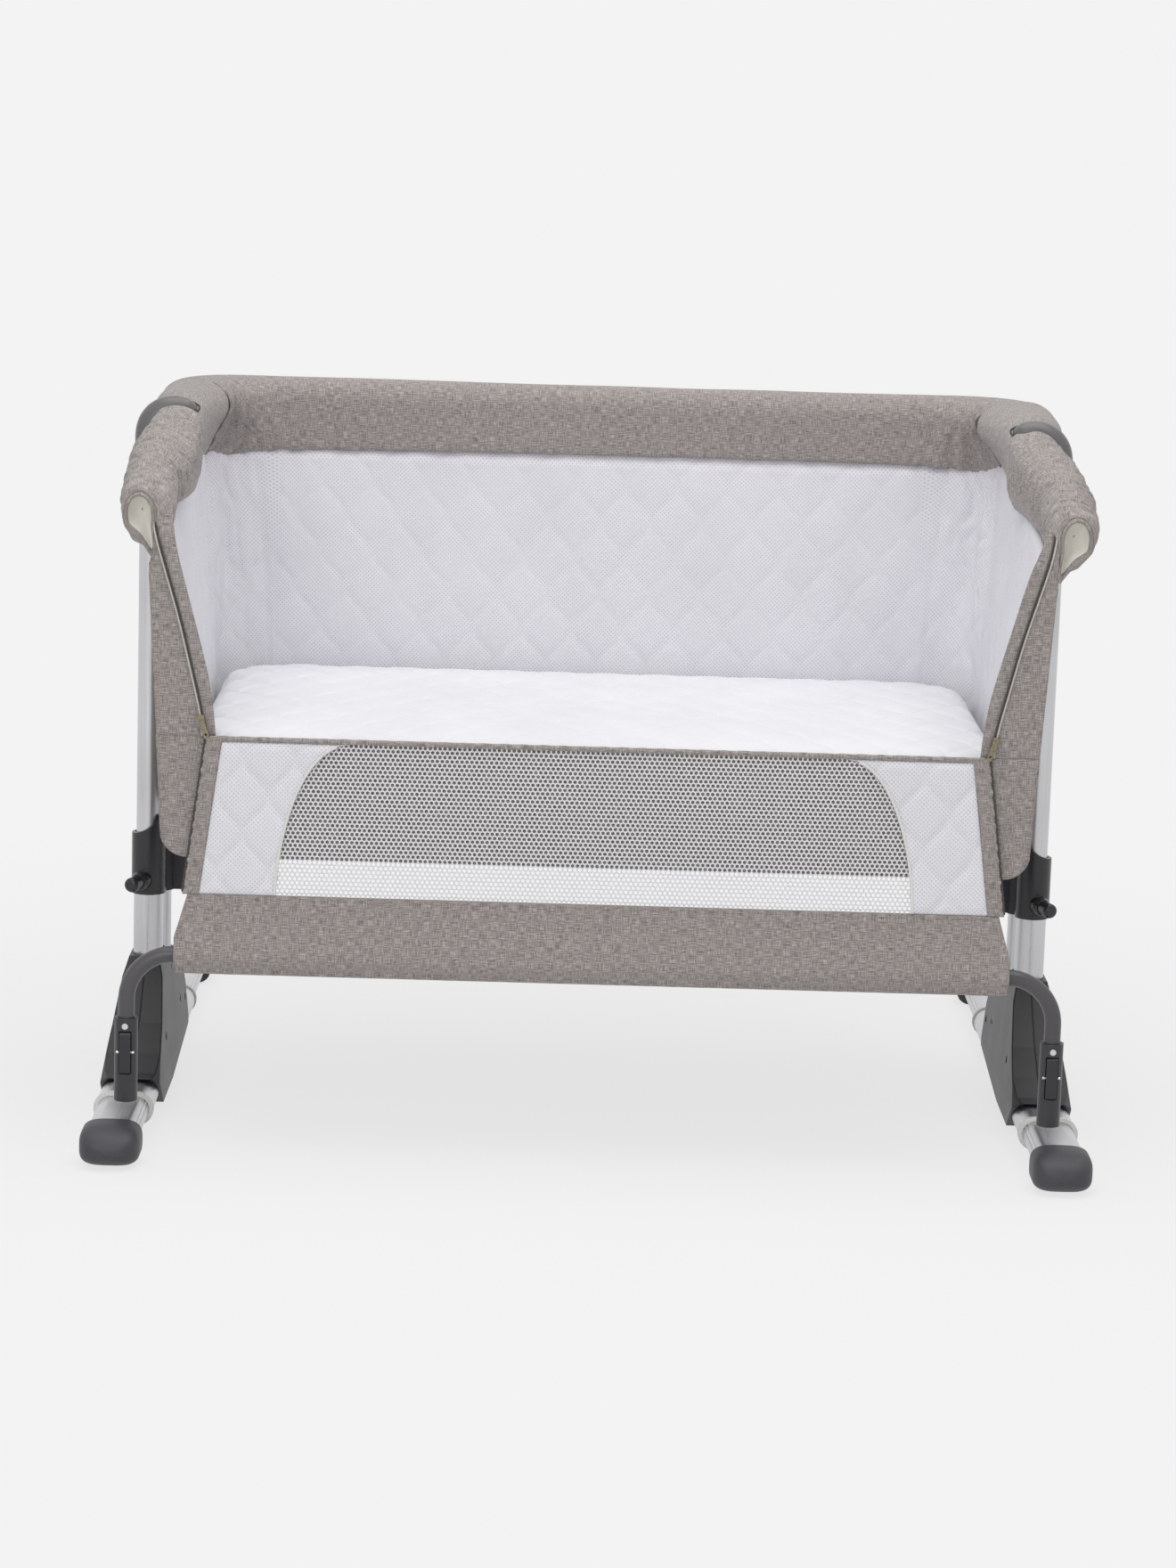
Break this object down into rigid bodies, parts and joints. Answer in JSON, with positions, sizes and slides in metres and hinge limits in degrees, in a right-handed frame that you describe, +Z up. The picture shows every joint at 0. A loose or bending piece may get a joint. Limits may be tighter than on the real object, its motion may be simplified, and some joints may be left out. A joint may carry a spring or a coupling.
{
  "type": "baby bed",
  "caption": "Bedside baby bed with padded rail sleeves, quilted lining, a lowered mesh front panel on a hanging rail bar, telescoping posts and sliding feet.",
  "frame": {"origin": "on the floor, under the middle of the footprint of the feet; the posts stand 0.07 m in front of it, because the rear feet are drawn out further", "axes": "+X along the bed's length to the viewer's right, -Y towards the open front with the lowered panel, +Z up"},
  "size_m": [0.969, 0.8242, 0.709],
  "materials": {
    "painted_tube": "satin dark grey paint",
    "dark_plastic": "fine-grained dark grey",
    "gloss_plastic": "glossy near-black",
    "foot_rubber": "matte dark grey",
    "satin_aluminium": "satin",
    "white_ring": "white",
    "steel": "bright",
    "zip_metal": "aged",
    "board": "plain fibre board",
    "melange_cloth": "taupe-grey melange weave",
    "quilted_cloth": "pale quilted padding",
    "mesh_cloth": "open white mesh",
    "piping": "white cord piping"
  },
  "bodies": {
    "stand": {"hub_outer_left": "dark_plastic", "hub_inner_left": "dark_plastic", "lower_post_left": "satin_aluminium", "collar_left": "gloss_plastic", "foot_tube_left": "satin_aluminium", "foot_rings_left": "white_ring", "hub_outer_right": "dark_plastic", "hub_inner_right": "dark_plastic", "lower_post_right": "satin_aluminium", "collar_right": "gloss_plastic", "foot_tube_right": "satin_aluminium", "foot_rings_right": "white_ring", "hub_screws": "steel"},
    "foot_front_left": {"front_foot_left": "satin_aluminium", "front_cap_left": "foot_rubber"},
    "foot_rear_left": {"rear_foot_left": "satin_aluminium", "rear_cap_left": "foot_rubber"},
    "pin_left": {"pull_pin_left": "gloss_plastic"},
    "foot_front_right": {"front_foot_right": "satin_aluminium", "front_cap_right": "foot_rubber"},
    "foot_rear_right": {"rear_foot_right": "satin_aluminium", "rear_cap_right": "foot_rubber"},
    "pin_right": {"pull_pin_right": "gloss_plastic"},
    "panel": {"panel_wings": "quilted_cloth", "mesh_window": "mesh_cloth", "window_piping": "piping", "panel_hem": "melange_cloth", "panel_bindings": "melange_cloth"},
    "bar": {"front_bar": "painted_tube", "connectors": "painted_tube", "connector_pins": "steel"},
    "button_left": {"rocker_left": "gloss_plastic"},
    "slider_left": {"zip_slider_left": "zip_metal"},
    "button_right": {"rocker_right": "gloss_plastic"},
    "slider_right": {"zip_slider_right": "zip_metal"},
    "bed": {"top_rail": "painted_tube", "elbow_left": "dark_plastic", "elbow_right": "dark_plastic", "upper_post_left": "satin_aluminium", "upper_post_right": "satin_aluminium", "slide_tube_left": "satin_aluminium", "slide_tube_right": "satin_aluminium", "bracket_left": "dark_plastic", "bracket_right": "dark_plastic", "bracket_bolts": "steel", "base_frame": "painted_tube", "base_board": "board", "mattress": "quilted_cloth", "back_sleeve": "melange_cloth", "side_sleeve_left": "melange_cloth", "side_sleeve_right": "melange_cloth", "back_wall": "melange_cloth", "side_wall_left": "melange_cloth", "side_wall_right": "melange_cloth", "floor_cloth": "melange_cloth", "front_fascia": "melange_cloth", "front_gussets": "melange_cloth", "lining_back": "quilted_cloth", "lining_left": "quilted_cloth", "lining_right": "quilted_cloth"}
  },
  "joints": [
    {"name": "bed_height", "type": "slide", "parent": "stand", "child": "bed", "axis": [0, 0, 1], "range_m": [0, 0.075]},
    {"name": "front_foot_slide_left", "type": "slide", "parent": "stand", "child": "foot_front_left", "axis": [0, 1, 0], "range_m": [0, 0.09]},
    {"name": "rear_foot_slide_left", "type": "slide", "parent": "stand", "child": "foot_rear_left", "axis": [0, -1, 0], "range_m": [0, 0.16]},
    {"name": "pull_pin_slide_left", "type": "slide", "parent": "stand", "child": "pin_left", "axis": [-0.309, -0.9511, 0], "range_m": [0, 0.008], "stiffness_N_per_m": 400},
    {"name": "front_foot_slide_right", "type": "slide", "parent": "stand", "child": "foot_front_right", "axis": [0, 1, 0], "range_m": [0, 0.09]},
    {"name": "rear_foot_slide_right", "type": "slide", "parent": "stand", "child": "foot_rear_right", "axis": [0, -1, 0], "range_m": [0, 0.16]},
    {"name": "pull_pin_slide_right", "type": "slide", "parent": "stand", "child": "pin_right", "axis": [0.309, -0.9511, 0], "range_m": [0, 0.008], "stiffness_N_per_m": 400},
    {"name": "panel_hinge", "type": "hinge", "parent": "bed", "child": "panel", "pos_m": [0, -0.3289, 0.4065], "axis": [-1, 0, 0], "range_deg": [0, 150]},
    {"name": "bar_turn", "type": "hinge", "parent": "panel", "child": "bar", "pos_m": [0, -0.3289, 0.195], "axis": [-1, 0, 0], "range_deg": [-80, 80]},
    {"name": "rocker_turn_left", "type": "hinge", "parent": "bar", "child": "button_left", "pos_m": [-0.4465, -0.33665, 0.0985], "axis": [1, 0, 0], "range_deg": [-5, 5], "stiffness_Nm_per_rad": 0.8},
    {"name": "zip_slide_left", "type": "slide", "parent": "bed", "child": "slider_left", "axis": [-0.3101, 0, 0.9507], "range_m": [0, 0.14]},
    {"name": "rocker_turn_right", "type": "hinge", "parent": "bar", "child": "button_right", "pos_m": [0.4465, -0.33665, 0.0985], "axis": [1, 0, 0], "range_deg": [-5, 5], "stiffness_Nm_per_rad": 0.8},
    {"name": "zip_slide_right", "type": "slide", "parent": "bed", "child": "slider_right", "axis": [0.3101, 0, 0.9507], "range_m": [0, 0.14]}
  ]
}
